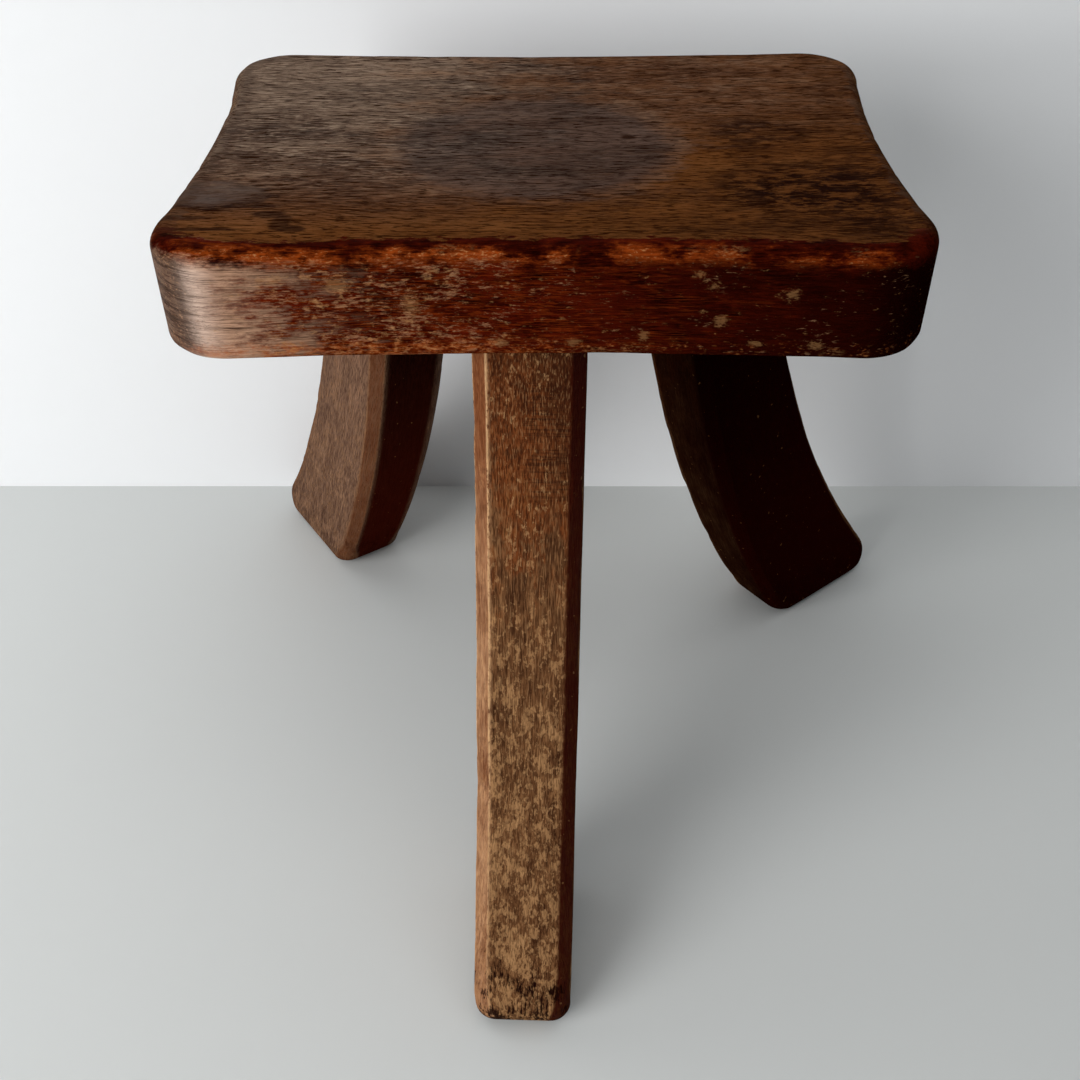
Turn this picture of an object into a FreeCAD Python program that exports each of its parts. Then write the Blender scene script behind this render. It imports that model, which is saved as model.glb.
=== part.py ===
import FreeCAD, Part
import math
import os
import re
import Sketcher

# A low three-legged stool of dark stained oak. One thick plank is the seat: its four sides are
# sawn slightly hollow between rounded corners. Three sabre-curved legs, sawn from stock of about
# the same thickness, flare out and widen towards the floor, and two blind dowels hold each of
# them to the underside of the seat.
# Lengths are in millimetres, and headings in degrees anticlockwise from +X, seen from above.
# +Z is up, -Y is the side of the single front leg, and the origin is on the floor, in the middle
# of the rectangle that the whole stool covers.

SIZES = (
    ("seat_length", 322.0, "side to side, between the points where the hollow sides would cross"),
    ("seat_depth", 230.0, "front to back, between the same points"),
    ("seat_thickness", 48.0, "thickness of the plank"),
    ("seat_height", 341.0, "top of the seat above the floor"),
    ("end_hollow", 12.0, "how far the two short ends curve in"),
    ("side_hollow", 6.5, "how far the front and the back curve in"),
    ("corner_radius", 27.0, "rounded corners of the seat, seen from above"),
    ("top_edge_radius", 7.0, "round-over along the top edge of the seat"),
    ("bottom_edge_radius", 4.0, "round-over along the bottom edge of the seat"),
    ("seat_centre_x", -14.9, "middle of the seat from the origin"),
    ("seat_centre_y", 23.9, "middle of the seat from the origin"),
    ("leg_thickness", 48.0, "thickness of a leg where it meets the seat"),
    ("foot_thickness", 45.0, "thickness of a leg at the floor"),
    ("leg_top_width", 55.4, "width of a leg where it meets the seat"),
    ("heel_reach", 81.0, "inner end of the sole, outwards from the middle of the leg's top"),
    ("toe_reach", 178.0, "outer end of the sole, outwards from the middle of the leg's top"),
    ("inner_bow", 16.7, "how far the inner edge of a leg bows from a straight line"),
    ("outer_bow", 20.0, "how far the outer edge of a leg bows from a straight line"),
    ("heel_radius", 18.0, "rounding of the inner end of the sole"),
    ("toe_radius", 14.0, "rounding of the outer end of the sole"),
    ("leg_chamfer", 6.0, "bevel along the long edges of a leg and round its foot"),
    ("front_leg_shift", -5.1, "middle of the front leg's top, to the right of the middle of the seat"),
    ("front_leg_setback", 41.5, "middle of the front leg's top, back from the front of the seat"),
    ("front_leg_heading", 268.1, "way in which the front leg flares"),
    ("right_rear_leg_inset", 85.8, "middle of the right rear leg's top, in from the seat's right end"),
    ("right_rear_leg_setback", 97.4, "middle of the right rear leg's top, in from the back of the seat"),
    ("right_rear_leg_heading", 38.5, "way in which the right rear leg flares"),
    ("left_rear_leg_inset", 84.6, "middle of the left rear leg's top, in from the seat's left end"),
    ("left_rear_leg_setback", 70.1, "middle of the left rear leg's top, in from the back of the seat"),
    ("left_rear_leg_heading", 124.2, "way in which the left rear leg flares"),
    ("dowel_diameter", 12.0, "diameter of a dowel"),
    ("dowel_pitch", 24.0, "distance between the two dowels of a leg"),
    ("dowel_in_seat", 26.0, "length of dowel inside the seat"),
    ("dowel_in_leg", 28.0, "length of dowel inside the leg"),
    ("dowel_fit", 0.1, "glue line round a dowel"),
    ("dowel_end_gap", 1.5, "glue space past each end of a dowel"),
    ("edge_match", 0.01, "how close an edge lies to the plane that it is picked by"),
)

# Where each leg's top sits, from the middle of the seat.
LEG_PLACES = {
    "front_leg": ("front_leg_shift", "front_leg_setback - seat_depth / 2"),
    "right_rear_leg": ("seat_length / 2 - right_rear_leg_inset", "seat_depth / 2 - right_rear_leg_setback"),
    "left_rear_leg": ("left_rear_leg_inset - seat_length / 2", "seat_depth / 2 - left_rear_leg_setback"),
}

# Where a leg's two dowels stand, as shares of their pitch from the middle of the leg.
DOWEL_SHARES = {"inner_dowel": -0.5, "outer_dowel": 0.5}

UP = FreeCAD.Vector(0, 0, 1)

# The numbers by which a sketch knows the ends and the centre of a curve, and its own two axes.
START, END, CENTRE = range(1, 4)
X_AXIS, Y_AXIS = range(-1, -3, -1)
ORIGIN = (X_AXIS, START)


def make_sheet(doc):
    """The driving sizes, one row each: name, value, meaning."""
    sheet = doc.addObject("Spreadsheet::Sheet", "Sizes")
    for row, (name, value, meaning) in enumerate(SIZES, start=1):
        sheet.set("A%d" % row, name)
        sheet.set("B%d" % row, str(value))
        sheet.set("C%d" % row, meaning)
        sheet.setAlias("B%d" % row, name)
    doc.recompute()
    return sheet


def cells(formula):
    """An expression in which each name of a size stands for its cell."""
    names = {name for name, value, meaning in SIZES}

    def cell(word):
        return "Sizes." + word.group() if word.group() in names else word.group()

    return re.sub("[a-z_]+", cell, formula)


def bind(item, field, formula):
    item.setExpression(field, cells(formula))


def make_body(doc, label):
    body = doc.addObject("PartDesign::Body", label)
    body.Label = label
    return body


def place(body, x, y, z, heading=None):
    """Binds where a body stands, and which way it is turned about the vertical."""
    body.Placement = FreeCAD.Placement(FreeCAD.Vector(), FreeCAD.Rotation(UP, 1))
    bind(body, "Placement.Base.x", x)
    bind(body, "Placement.Base.y", y)
    bind(body, "Placement.Base.z", z)
    bind(body, "Placement.Rotation.Angle", heading or "0")


def origin_plane(body, role):
    return next(item for item in body.Origin.OriginFeatures if item.Role == role)


def make_sketch(body, name, plane_role):
    sketch = body.newObject("Sketcher::SketchObject", name)
    sketch.AttachmentSupport = [(origin_plane(body, plane_role), "")]
    sketch.MapMode = "FlatFace"
    return sketch


def drive(sketch, kind, where, value, formula):
    """Adds a dimension to a sketch and ties it to the sheet."""
    number = sketch.addConstraint(Sketcher.Constraint(kind, *where, value))
    bind(sketch, "Constraints[%d]" % number, formula)


def hold(sketch, kind, *where):
    sketch.addConstraint(Sketcher.Constraint(kind, *where))


def add_pad(body, sketch, name, formula, both_ways=False):
    pad = body.newObject("PartDesign::Pad", name)
    pad.Profile = sketch
    pad.SideType = "Symmetric" if both_ways else "One side"
    bind(pad, "Length", formula)
    body.Document.recompute()
    return pad


def add_pocket(body, sketch, name, formula, upwards=False, both_ways=False):
    """Cuts a sketch into a body, and makes sure that wood was taken away."""
    before = body.Shape.Volume
    pocket = body.newObject("PartDesign::Pocket", name)
    pocket.Profile = sketch
    pocket.Reversed = upwards
    pocket.SideType = "Symmetric" if both_ways else "One side"
    bind(pocket, "Length", formula)
    body.Document.recompute()
    if not body.Shape.Volume < before:
        raise RuntimeError("%s cuts nothing" % name)
    return pocket


def edges_where(shape, test):
    numbered = enumerate(shape.Edges, start=1)
    return ["Edge%d" % number for number, edge in numbered if test(edge.BoundBox)]


def dress_edges(body, kind, name, base, edges, field, formula):
    """A fillet or a chamfer along chosen edges of the last feature."""
    feature = body.newObject("PartDesign::" + kind, name)
    feature.Base = (base, edges)
    bind(feature, field, formula)
    body.Document.recompute()
    return feature


def arc(centre, radius, first, last):
    circle = Part.Circle(FreeCAD.Vector(*centre, 0), UP, radius)
    return Part.ArcOfCircle(circle, first, last)


def line(start, end):
    return Part.LineSegment(FreeCAD.Vector(*start, 0), FreeCAD.Vector(*end, 0))


def draw_seat_outline(sketch, size):
    """Four hollow sides and four round corners, each running smoothly into the next."""
    half_length = size("seat_length") / 2
    half_depth = size("seat_depth") / 2
    end_hollow, side_hollow = size("end_hollow"), size("side_hollow")
    corner = size("corner_radius")
    end_radius = (half_depth ** 2 + end_hollow ** 2) / (2 * end_hollow)
    side_radius = (half_length ** 2 + side_hollow ** 2) / (2 * side_hollow)
    end_centre = half_length - end_hollow + end_radius
    side_centre = half_depth - side_hollow + side_radius

    # A corner's centre lies one corner radius inside both of the hollow curves.
    apart = math.hypot(end_centre, side_centre)
    along = ((end_radius + corner) ** 2 - (side_radius + corner) ** 2 + apart ** 2) / (2 * apart)
    aside = math.sqrt((end_radius + corner) ** 2 - along ** 2)
    corner_x = end_centre - (along * end_centre + aside * side_centre) / apart
    corner_y = (along * side_centre - aside * end_centre) / apart
    end_turn = math.atan2(corner_y, corner_x - end_centre)
    side_turn = math.atan2(corner_y - side_centre, corner_x)

    # The outline as drawn anticlockwise, so the hollow sides run the other way about their centres.
    right, top, left, bottom = range(4)
    sketch.addGeometry(arc((end_centre, 0), end_radius, end_turn, 2 * math.pi - end_turn))
    sketch.addGeometry(arc((0, side_centre), side_radius, -math.pi - side_turn, side_turn))
    sketch.addGeometry(arc((-end_centre, 0), end_radius, end_turn - math.pi, math.pi - end_turn))
    sketch.addGeometry(arc((0, -side_centre), side_radius, -side_turn, math.pi + side_turn))
    first, last = end_turn - math.pi, side_turn + math.pi
    corners = []
    for across, away, begin, finish in ((1, 1, first, last), (-1, 1, math.pi - last, math.pi - first),
                                        (-1, -1, math.pi + first, math.pi + last), (1, -1, -last, -first)):
        middle = (across * corner_x, away * corner_y)
        corners.append(sketch.addGeometry(arc(middle, corner, begin, finish)))
    sides = (right, top, left, bottom)
    for turn, rounding in enumerate(corners):
        hold(sketch, "Tangent", sides[turn], START, rounding, START)
        hold(sketch, "Tangent", rounding, END, sides[(turn + 1) % len(sides)], END)
    for rounding in corners:
        drive(sketch, "Radius", (rounding,), corner, "corner_radius")

    end_formula = "((seat_depth / 2) ^ 2 + end_hollow ^ 2) / (2 * end_hollow)"
    side_formula = "((seat_length / 2) ^ 2 + side_hollow ^ 2) / (2 * side_hollow)"
    for side, near, far in ((right, ORIGIN, (right, CENTRE)), (left, (left, CENTRE), ORIGIN)):
        hold(sketch, "PointOnObject", side, CENTRE, X_AXIS)
        drive(sketch, "Radius", (side,), end_radius, end_formula)
        drive(sketch, "DistanceX", near + far, end_centre, "seat_length / 2 - end_hollow + " + end_formula)
    for side, near, far in ((top, ORIGIN, (top, CENTRE)), (bottom, (bottom, CENTRE), ORIGIN)):
        hold(sketch, "PointOnObject", side, CENTRE, Y_AXIS)
        drive(sketch, "Radius", (side,), side_radius, side_formula)
        drive(sketch, "DistanceY", near + far, side_centre, "seat_depth / 2 - side_hollow + " + side_formula)


def draw_dowel_holes(sketch, size):
    """A pair of round holes, one to each side of the leg's middle."""
    radius = size("dowel_diameter") / 2 + size("dowel_fit")
    for share in DOWEL_SHARES.values():
        middle = FreeCAD.Vector(share * size("dowel_pitch"), 0, 0)
        hole = sketch.addGeometry(Part.Circle(middle, UP, radius))
        ends = ORIGIN + (hole, CENTRE) if share > 0 else (hole, CENTRE) + ORIGIN
        hold(sketch, "PointOnObject", hole, CENTRE, X_AXIS)
        drive(sketch, "DistanceX", ends, abs(middle.x), "dowel_pitch * %s" % abs(share))
        drive(sketch, "Radius", (hole,), radius, "dowel_diameter / 2 + dowel_fit")


def make_seat(doc, size):
    """The plank, rounded over along its edges, with a pair of blind holes for each leg."""
    body = make_body(doc, "seat")
    outline = make_sketch(body, "seat_outline", "XY_Plane")
    draw_seat_outline(outline, size)
    plank = add_pad(body, outline, "seat_plank", "seat_thickness")
    match = size("edge_match")
    thickness = size("seat_thickness")
    top_edges = edges_where(plank.Shape, lambda box: box.ZMin > thickness - match)
    rounded = dress_edges(body, "Fillet", "seat_top_edge", plank, top_edges, "Radius", "top_edge_radius")
    bottom_edges = edges_where(rounded.Shape, lambda box: box.ZMax < match)
    dress_edges(body, "Fillet", "seat_bottom_edge", rounded, bottom_edges, "Radius", "bottom_edge_radius")
    for leg, (across, away) in LEG_PLACES.items():
        holes = make_sketch(body, "seat_holes_" + leg, "XY_Plane")
        holes.AttachmentOffset = FreeCAD.Placement(FreeCAD.Vector(), FreeCAD.Rotation(UP, 1))
        bind(holes, "AttachmentOffset.Base.x", across)
        bind(holes, "AttachmentOffset.Base.y", away)
        bind(holes, "AttachmentOffset.Rotation.Angle", leg + "_heading")
        draw_dowel_holes(holes, size)
        add_pocket(body, holes, "seat_bores_" + leg, "dowel_in_seat + dowel_end_gap", upwards=True)
    place(body, "seat_centre_x", "seat_centre_y", "seat_height - seat_thickness")
    return body


def bowed_arc(start, end, bow):
    """An arc from a high point to a low one further out, hollow on its outer side."""
    run, rise = end[0] - start[0], end[1] - start[1]
    chord = math.hypot(run, rise)
    radius = chord ** 2 / (8 * bow) + bow / 2
    reach = (radius - bow) / chord
    centre = ((start[0] + end[0]) / 2 - rise * reach, (start[1] + end[1]) / 2 + run * reach)
    turns = [math.atan2(point[1] - centre[1], point[0] - centre[0]) for point in (start, end)]
    return arc(centre, radius, *turns), radius


def draw_leg_profile(sketch, size):
    """The leg seen from its side: flat top, flat sole and two long curves."""
    drop = size("seat_height") - size("seat_thickness")
    half_top = size("leg_top_width") / 2
    heel, toe = size("heel_reach"), size("toe_reach")
    inner_arc, inner_radius = bowed_arc((-half_top, drop), (heel, 0), size("inner_bow"))
    outer_arc, outer_radius = bowed_arc((half_top, drop), (toe, 0), size("outer_bow"))
    top = sketch.addGeometry(line((-half_top, drop), (half_top, drop)))
    sole = sketch.addGeometry(line((heel, 0), (toe, 0)))
    inner = sketch.addGeometry(inner_arc)
    outer = sketch.addGeometry(outer_arc)
    hold(sketch, "Coincident", top, START, inner, START)
    hold(sketch, "Coincident", top, END, outer, START)
    hold(sketch, "Coincident", sole, START, inner, END)
    hold(sketch, "Coincident", sole, END, outer, END)
    hold(sketch, "Symmetric", top, START, top, END, Y_AXIS)
    drive(sketch, "DistanceX", (top, START, top, END), 2 * half_top, "leg_top_width")
    drive(sketch, "DistanceY", ORIGIN + (top, END), drop, "seat_height - seat_thickness")
    hold(sketch, "PointOnObject", sole, START, X_AXIS)
    hold(sketch, "PointOnObject", sole, END, X_AXIS)
    drive(sketch, "DistanceX", ORIGIN + (sole, START), heel, "heel_reach")
    drive(sketch, "DistanceX", ORIGIN + (sole, END), toe, "toe_reach")
    fall = "(seat_height - seat_thickness) ^ 2"
    drive(sketch, "Radius", (inner,), inner_radius,
          "((heel_reach + leg_top_width / 2) ^ 2 + " + fall + ") / (8 * inner_bow) + inner_bow / 2")
    drive(sketch, "Radius", (outer,), outer_radius,
          "((toe_reach - leg_top_width / 2) ^ 2 + " + fall + ") / (8 * outer_bow) + outer_bow / 2")


def draw_leg_taper(sketch, size):
    """A wedge of waste down each side of a leg, seen from its front."""
    drop = size("seat_height") - size("seat_thickness")
    half_top = size("leg_thickness") / 2
    half_foot = size("foot_thickness") / 2
    for side in (-1, 1):
        corners = ((side * half_top, drop), (side * half_foot, 0), (side * half_top, 0))
        slope, base, face = (sketch.addGeometry(line(corners[turn], corners[turn - 2])) for turn in range(3))
        hold(sketch, "Coincident", slope, END, base, START)
        hold(sketch, "Coincident", base, END, face, START)
        hold(sketch, "Coincident", face, END, slope, START)
        hold(sketch, "PointOnObject", base, START, X_AXIS)
        hold(sketch, "PointOnObject", base, END, X_AXIS)
        hold(sketch, "Vertical", face)
        far, near = (face, END), (base, START)
        reach = (ORIGIN + far, ORIGIN + near) if side > 0 else (far + ORIGIN, near + ORIGIN)
        drive(sketch, "DistanceX", reach[0], half_top, "leg_thickness / 2")
        drive(sketch, "DistanceX", reach[1], half_foot, "foot_thickness / 2")
        drive(sketch, "DistanceY", ORIGIN + far, drop, "seat_height - seat_thickness")


def make_leg(doc, size, label):
    """A sabre leg: sawn to its curve, thinned towards the floor, rounded at heel and toe, bevelled."""
    body = make_body(doc, label)
    profile = make_sketch(body, label + "_profile", "XZ_Plane")
    draw_leg_profile(profile, size)
    blank = add_pad(body, profile, label + "_blank", "leg_thickness", both_ways=True)
    taper = make_sketch(body, label + "_taper", "YZ_Plane")
    draw_leg_taper(taper, size)
    thinned = add_pocket(body, taper, label + "_sides", "2 * (toe_reach + leg_top_width)", both_ways=True)
    match = size("edge_match")
    heel, toe = size("heel_reach"), size("toe_reach")
    heel_edge = edges_where(thinned.Shape, lambda box: abs(box.XMin - heel) < match and box.XLength < match)
    heeled = dress_edges(body, "Fillet", label + "_heel", thinned, heel_edge, "Radius", "heel_radius")
    toe_edge = edges_where(heeled.Shape, lambda box: abs(box.XMin - toe) < match and box.XLength < match)
    toed = dress_edges(body, "Fillet", label + "_toe", heeled, toe_edge, "Radius", "toe_radius")
    drop = size("seat_height") - size("seat_thickness")
    long_edges = edges_where(toed.Shape, lambda box: box.YMin * box.YMax > 0 and box.ZMin < drop - match)
    dress_edges(body, "Chamfer", label + "_bevel", toed, long_edges, "Size", "leg_chamfer")
    holes = make_sketch(body, label + "_holes", "XY_Plane")
    bind(holes, "AttachmentOffset.Base.z", "seat_height - seat_thickness")
    draw_dowel_holes(holes, size)
    add_pocket(body, holes, label + "_bores", "dowel_in_leg + dowel_end_gap")
    across, away = LEG_PLACES[label]
    place(body, "seat_centre_x + " + across, "seat_centre_y + " + away, "0", label + "_heading")
    return body


def make_dowel(doc, size, leg, name):
    """A turned pin, half in the leg and half in the seat."""
    label = "%s_%s" % (leg, name)
    body = make_body(doc, label)
    section = make_sketch(body, label + "_section", "XY_Plane")
    radius = size("dowel_diameter") / 2
    pin = section.addGeometry(Part.Circle(FreeCAD.Vector(), UP, radius))
    hold(section, "Coincident", pin, CENTRE, *ORIGIN)
    drive(section, "Radius", (pin,), radius, "dowel_diameter / 2")
    add_pad(body, section, label + "_pin", "dowel_in_leg + dowel_in_seat")
    across, away = LEG_PLACES[leg]
    reach = "dowel_pitch * %s" % DOWEL_SHARES[name]
    turn = leg + "_heading * 1deg"
    place(body, "seat_centre_x + %s + %s * cos(%s)" % (across, reach, turn),
          "seat_centre_y + %s + %s * sin(%s)" % (away, reach, turn),
          "seat_height - seat_thickness - dowel_in_leg", leg + "_heading")
    return body


def check(doc, bodies):
    """Stops before anything is written if a feature failed or a piece isn't one sound solid."""
    for item in doc.Objects:
        if "Invalid" in item.State or "Error" in item.State:
            raise RuntimeError("%s failed: %s" % (item.Label, item.State))
    for body in bodies:
        shape = body.Shape
        if shape.isNull() or not shape.isValid() or len(shape.Solids) != 1:
            raise RuntimeError("%s is not one sound solid" % body.Label)


def main():
    doc = FreeCAD.newDocument("stool")
    sheet = make_sheet(doc)

    def size(name):
        return float(sheet.get(name))

    bodies = [make_seat(doc, size)]
    bodies += [make_leg(doc, size, leg) for leg in LEG_PLACES]
    bodies += [make_dowel(doc, size, leg, name) for leg in LEG_PLACES for name in DOWEL_SHARES]
    doc.recompute()
    check(doc, bodies)
    os.makedirs("parts", exist_ok=True)
    whole = FreeCAD.BoundBox()
    for body in bodies:
        body.Shape.exportStep("parts/%s.step" % body.Label)
        whole.add(body.Shape.BoundBox)
        print("%-28s %9.1f cubic mm" % (body.Label, body.Shape.Volume))
    print("box", whole)


main()
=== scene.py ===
import math
from collections import namedtuple
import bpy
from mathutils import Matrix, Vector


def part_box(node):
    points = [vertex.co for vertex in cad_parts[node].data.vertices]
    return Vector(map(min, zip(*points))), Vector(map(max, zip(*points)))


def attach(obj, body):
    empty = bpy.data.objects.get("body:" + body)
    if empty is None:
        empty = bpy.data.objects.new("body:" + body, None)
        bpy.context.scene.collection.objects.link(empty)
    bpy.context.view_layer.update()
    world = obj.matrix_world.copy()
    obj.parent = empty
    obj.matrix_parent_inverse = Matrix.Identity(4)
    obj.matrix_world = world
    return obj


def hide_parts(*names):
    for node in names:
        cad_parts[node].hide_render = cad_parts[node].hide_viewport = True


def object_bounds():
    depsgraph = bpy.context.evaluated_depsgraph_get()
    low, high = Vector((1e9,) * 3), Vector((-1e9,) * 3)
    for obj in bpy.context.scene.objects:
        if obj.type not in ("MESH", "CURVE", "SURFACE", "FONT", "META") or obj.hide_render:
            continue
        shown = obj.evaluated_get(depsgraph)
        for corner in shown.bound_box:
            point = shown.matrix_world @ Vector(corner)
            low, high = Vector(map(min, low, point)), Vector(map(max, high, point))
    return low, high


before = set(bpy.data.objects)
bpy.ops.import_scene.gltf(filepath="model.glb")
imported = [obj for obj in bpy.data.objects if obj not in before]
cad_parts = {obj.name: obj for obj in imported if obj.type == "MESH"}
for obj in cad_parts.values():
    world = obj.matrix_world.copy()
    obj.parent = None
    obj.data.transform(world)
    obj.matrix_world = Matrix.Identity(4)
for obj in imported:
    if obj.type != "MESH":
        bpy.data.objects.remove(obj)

from types import SimpleNamespace

import bmesh
import bpy
from bpy.props import FloatProperty, FloatVectorProperty, PointerProperty
from mathutils import Matrix, Vector, noise

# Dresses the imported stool: a worn plank seat and three sabre legs of dark stained oak, held by
# beech dowels. Lengths are in metres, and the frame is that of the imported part.

bl_info = {
    "name": "Three-legged oak stool",
    "version": (1, 0, 0),
    "blender": (4, 5, 0),
    "location": "View3D > Sidebar > Stool",
    "description": "Builds the worn oak seat, the sabre legs and the stage of a low stool",
    "category": "Add Mesh",
}

CAD_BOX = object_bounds()
BODY = "root"
MM = 0.001

# How dark each leg is painted, partly darker stain and partly painted shade; how scuffed, rubbed and grey it
# is, the grey partly faded wood and partly painted light; and whether its left side faces the lamp.
LegLook = namedtuple("LegLook", "depth scuffing rubbing grey worn_left")
LEG_LOOKS = {
    "front_leg": LegLook(0.0, 1.0, 1.0, 0.0, True),
    "right_rear_leg": LegLook(1.0, 0.1, 0.0, 0.0, False),
    "left_rear_leg": LegLook(0.0, 0.12, 0.15, 0.85, False),
}

# Marks on the seat, in millimetres from the middle of its top: place, reach and, for blotches, darkness.
# Chips lie on the front, so theirs are X and Z.
BLOTCHES = (
    ((94, 4), (24, 18), 0.8), ((113, -56), (44, 28), 1.0), ((138, -90), (22, 14), 0.8),
    ((136, 30), (16, 70), 0.4), ((70, -92), (60, 7), 0.35), ((-30, -80), (70, 6), 0.2),
    ((-118, 10), (26, 18), 0.3), ((20, -64), (60, 7), 0.4), ((-90, -52), (40, 9), 0.4),
)
DARK_MARKS = (
    ((-110, -79), (7, 3)), ((-103, -87), (4, 7)), ((-98, -92), (5, 3)),
    ((-146, -82), (16, 2)), ((-138, -92), (22, 1.5)), ((-120, -72), (12, 1.5)),
)
CHIPS = (
    ((96, -19), (2.4, 2.2)), ((70, -31), (2.1, 1.7)), ((66, -16), (1.8, 1.4)), ((60, -11), (2.0, 1.2)),
    ((12, -41), (2.2, 1.5)), ((108, -41), (2.2, 1.4)), ((-18, -41), (2.4, 1.4)), ((84, -41), (2.2, 1.2)),
    ((-52, -24), (2.6, 4.0)), ((-80, -15), (4.0, 2.4)), ((-104, -12), (4.0, 1.6)), ((40, -38), (1.4, 2.2)),
)
WATER_STAIN = ((-4, -8.5), (60, 56))
STAIN_RING = ((-2, -8.5), (65, 60))
STAIN_DROP = ((37, 0), (3.4, 2.8))
DAMP_MARK = ((-140, -59), (22, 11))
DAMP_SHORE = ((-135, -62), (26, 13))

# The ranges that a soft noise mostly fills.
WIDE_RANGE = (0.34, 0.66)
NARROW_RANGE = (0.36, 0.64)

# How finely the seat is divided.
END_STEPS = 104
CORNER_STEPS = 26
SIDE_STEPS = 156
TOP_STEPS = 44
TOP_EDGE_STEPS = 12
FACE_STEPS = 24
BOTTOM_EDGE_STEPS = 7
UNDER_STEPS = 14

# The way down the edge over the flat faces, and where it ends.
FLAT_WAY = 0.1
LAST_WAY = 0.2

# Wear of the seat: its dish, its knocked edges, waves per metre and their height.
DISH_REACH_X = 0.13
DISH_REACH_Y = 0.09
TOP_ARRIS = (5.5 * MM, 4.5 * MM)
BOTTOM_ARRIS = (49 * MM, 4 * MM)
SIDE_WAVES = ((16, 0.35), (60, 0.10))
TOP_WAVES = (14, 0.25)
BROAD_KNOCKS = 34
FINE_KNOCKS = 95
KNOCK_SHIFT = Vector((3, 7, 1))


def shade(red, green, blue):
    """A colour as seen on a screen, from 0 to 255, turned into linear light."""
    parts = [part / 255 for part in (red, green, blue)]
    return tuple(part / 12.92 if part <= 0.04045 else ((part + 0.055) / 1.055) ** 2.4 for part in parts)


def length(name, description, default):
    return FloatProperty(name=name, description=description, default=default, unit="LENGTH", precision=4)


def angle(name, description, default):
    return FloatProperty(name=name, description=description, default=default, subtype="ANGLE")


def power(name, description, default):
    return FloatProperty(name=name, description=description, default=default, unit="POWER")


def colour(name, description, default):
    return FloatVectorProperty(name=name, description=description, default=shade(*default), size=3,
                               subtype="COLOR", min=0, max=1)


class StoolSeatSizes(bpy.types.PropertyGroup):
    """Sizes of the seat plank."""
    length: length("Length", "Side to side, where the hollow sides would cross", 0.322)
    depth: length("Depth", "Front to back, at the same points", 0.230)
    end_hollow: length("End hollow", "How far the two short ends curve in", 0.012)
    side_hollow: length("Side hollow", "How far the front and the back curve in", 0.0065)
    corner_radius: length("Corner radius", "Rounded corners, seen from above", 0.027)
    top_edge: length("Top edge", "Round-over along the top edge", 0.007)
    bottom_edge: length("Bottom edge", "Round-over along the bottom edge", 0.004)
    dish: length("Dish", "How far the top is worn hollow by sitting", 0.0008)
    edge_wear: length("Edge wear", "How deep the knocks along the edges go", 0.0016)


class StoolLegSizes(bpy.types.PropertyGroup):
    """Sizes of a sabre leg."""
    top_width: length("Top width", "Width where the leg meets the seat", 0.0554)
    top_thickness: length("Top thickness", "Thickness where the leg meets the seat", 0.048)
    foot_thickness: length("Foot thickness", "Thickness at the floor", 0.045)
    heel_reach: length("Heel reach", "Inner end of the sole, outwards from the middle of the top", 0.081)
    toe_reach: length("Toe reach", "Outer end of the sole, outwards from the middle of the top", 0.178)
    inner_bow: length("Inner bow", "How far the inner edge bows", 0.0167)
    outer_bow: length("Outer bow", "How far the outer edge bows", 0.020)
    heel_radius: length("Heel radius", "Rounding of the inner end of the sole", 0.018)
    toe_radius: length("Toe radius", "Rounding of the outer end of the sole", 0.014)
    bevel: length("Bevel", "Bevel along the long edges", 0.006)
    wear: length("Wear", "How deep the knocks along the arrises go", 0.0008)


class StoolFinish(bpy.types.PropertyGroup):
    """Colours of the stained oak, its wear, the light and shade painted on it, and the dowels."""
    oak_dark: colour("Dark oak", "Stain lying in the grain of the seat", (32, 12, 4))
    oak_mid: colour("Oak", "Stained wood of the seat", (91, 51, 21))
    oak_light: colour("Light oak", "Stained wood where it is rubbed", (116, 72, 36))
    # Also painted as painted shade on the far left corner of the front.
    grey_dark_and_shade: colour("Dark grey oak", "Open grain in the greyed part of the seat", (42, 27, 18))
    grey_mid: colour("Grey oak", "Wood greyed by water and light", (88, 66, 50))
    grey_light: colour("Light grey oak", "Bleached flecks in the greyed part", (152, 130, 110))
    stain: colour("Water stain", "The round mark in the middle of the seat", (82, 69, 63))
    # Also painted as painted shade: the inner faces, the bevels away from the lamp, the right of the front
    # and most of the right rear leg.
    varnish_deep_and_shade: colour("Deep varnish", "Varnish that has gone almost black", (20, 2, 1))
    varnish: colour("Varnish", "Red-brown varnish on the sides", (84, 20, 5))
    edge_orange: colour("Rubbed edge", "Varnish rubbed thin along the edges", (150, 66, 20))
    damp: colour("Damp mark", "The smooth blue-grey mark at the left end", (96, 87, 82))
    # Painted highlight on the front left corner.
    corner_highlight: colour("Polished corner", "Front left corner, rubbed smooth and pale", (214, 196, 184))
    bare: colour("Bare wood", "Chips down to the bare wood", (180, 132, 84))
    # Also painted as a painted sheen on the left of the front, where it is partly real rubbed varnish.
    rubbed: colour("Rubbed end", "Front left end, rubbed by hands", (184, 142, 114))
    # Also painted as painted shade on the legs under the seat.
    leg_dark_and_shade: colour("Dark leg", "Stain lying in the grain of the legs", (46, 20, 8))
    leg_mid: colour("Leg", "Stained wood of the legs", (112, 75, 46))
    leg_light: colour("Light leg", "Scuffed wood of the legs", (166, 126, 86))
    # Partly faded wood, partly painted light on the leg that faces the lamp most.
    leg_faded_lit: colour("Faded leg", "The leg that gets most light", (122, 93, 75))
    leg_red: colour("Red leg", "Upper part of the legs", (108, 55, 24))
    # Partly rubbed wear, partly a painted highlight along the arrises that face the lamp.
    arris_wear_and_glint: colour("Pale arris", "Line rubbed bare along the edge of a bevel", (206, 164, 120))
    beech: colour("Beech", "Wood of the dowels", (206, 170, 126))


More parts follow.
